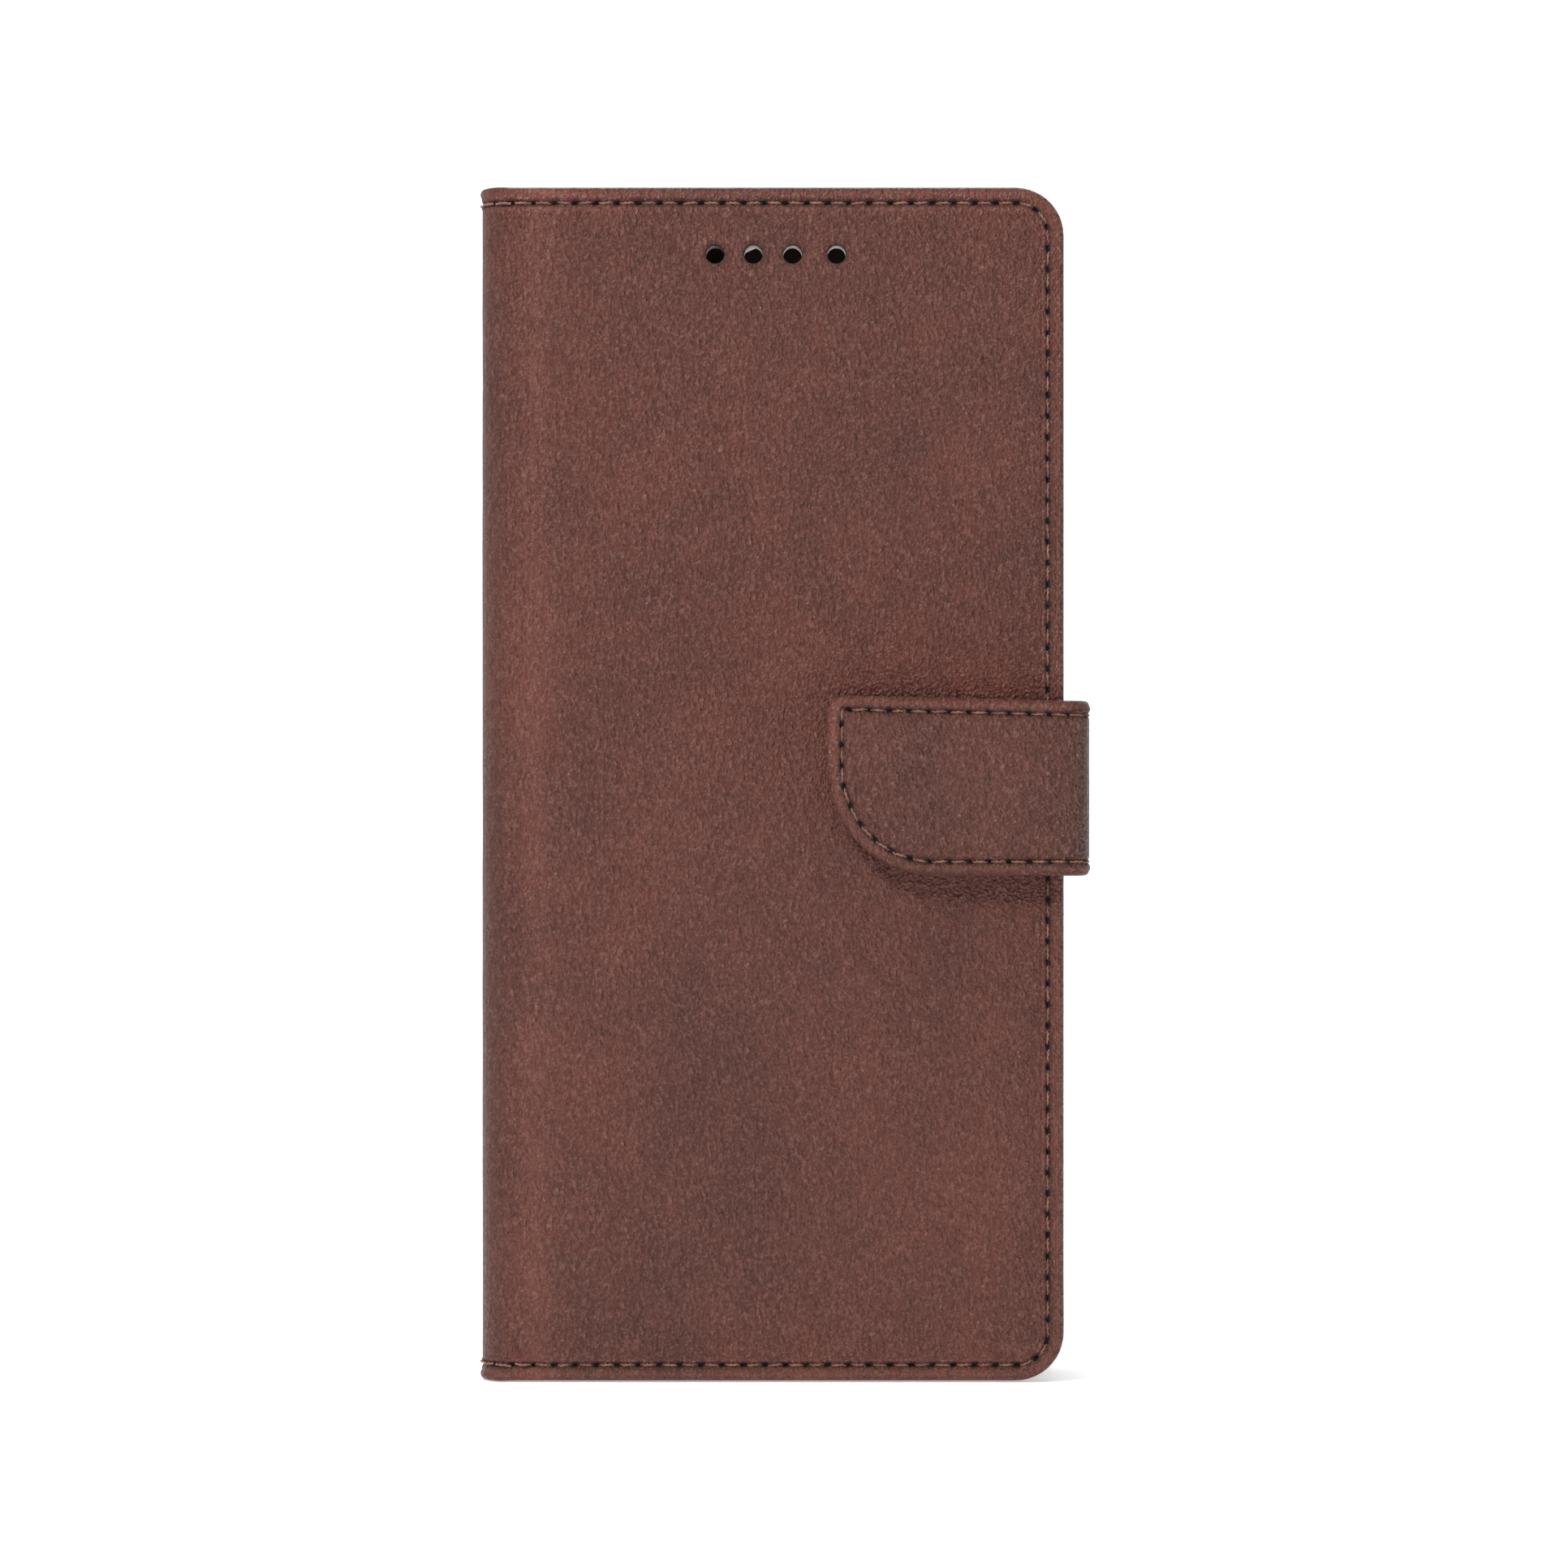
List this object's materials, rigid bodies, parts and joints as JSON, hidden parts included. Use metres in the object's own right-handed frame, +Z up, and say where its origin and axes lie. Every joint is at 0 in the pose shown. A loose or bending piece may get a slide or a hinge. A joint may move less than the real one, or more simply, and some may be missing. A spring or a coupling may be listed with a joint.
{
  "type": "phone wallet case",
  "caption": "Standing closed leather folio case for a phone, with card slots inside the cover, a camera window and a magnetic strap.",
  "frame": {"origin": "middle of the closed case's bounding box in plan, at the height of its bottom edge", "axes": "+Z up along the case's height, front cover facing -Y, back cover and camera window facing +Y, spine at -X, strap at +X"},
  "size_m": [0.0862, 0.021, 0.168],
  "materials": {
    "outer_leather": "brown pull-up leather, fine pebble grain, semi-matte",
    "card_leather": "brown lining leather, fine grain, matte",
    "strap_leather": "brown leather, smooth raised rim",
    "thread": "twisted orange-brown polyester thread",
    "shell": "dark brown moulded soft plastic, satin",
    "board": "grey-brown stiffener board",
    "lining_textile": "brown backing textile",
    "pocket_cloth": "black woven nylon",
    "steel": "plated steel",
    "glue": "clear double-sided adhesive film"
  },
  "bodies": {
    "holder": {"phone_shell": "shell", "back_leather": "outer_leather", "back_board_strap_side": "board", "back_board_spine_side": "board", "back_lining": "lining_textile", "shell_adhesive": "glue", "strap_anchor_tab": "strap_leather", "back_edge_thread": "thread", "fold_seam_thread": "thread", "strap_root_thread": "thread"},
    "spine": {"spine_leather": "outer_leather", "spine_board": "board", "spine_lining": "card_leather", "spine_edge_thread": "thread"},
    "front_cover": {"front_leather": "outer_leather", "front_board": "board", "keeper_plate": "steel", "front_lining": "lining_textile", "card_panel": "card_leather", "slot_welt_upper": "card_leather", "slot_welt_middle": "card_leather", "slot_welt_lower": "card_leather", "card_pocket_upper": "pocket_cloth", "card_pocket_middle": "pocket_cloth", "card_pocket_lower": "pocket_cloth", "front_edge_thread": "thread", "card_panel_thread": "thread"},
    "strap_band": {"strap_band_leather": "strap_leather", "strap_band_lining": "strap_leather", "strap_band_thread": "thread"},
    "strap_flap": {"strap_flap_leather": "strap_leather", "strap_flap_core": "board", "strap_flap_lining": "strap_leather", "strap_magnet": "steel", "strap_flap_thread": "thread"}
  },
  "joints": [
    {"name": "spine_hinge", "type": "hinge", "parent": "holder", "child": "spine", "pos_m": [-0.043, 0.01004, 0.084], "axis": [0, 0, -1], "range_deg": [0, 175]},
    {"name": "cover_hinge", "type": "hinge", "parent": "spine", "child": "front_cover", "pos_m": [-0.043, -0.00777, 0.084], "axis": [0, 0, -1], "range_deg": [0, 175]},
    {"name": "strap_root_hinge", "type": "hinge", "parent": "holder", "child": "strap_band", "pos_m": [0.043, 0.00914, 0.0834], "axis": [0, 0, 1], "range_deg": [0, 90], "deforming": ["strap_band_leather", "strap_band_lining", "strap_band_thread"]},
    {"name": "strap_flap_hinge", "type": "hinge", "parent": "strap_band", "child": "strap_flap", "pos_m": [0.043, -0.01042, 0.0834], "axis": [0, 0, 1], "range_deg": [0, 90], "deforming": ["strap_flap_leather", "strap_flap_core", "strap_flap_lining", "strap_magnet", "strap_flap_thread"]}
  ]
}
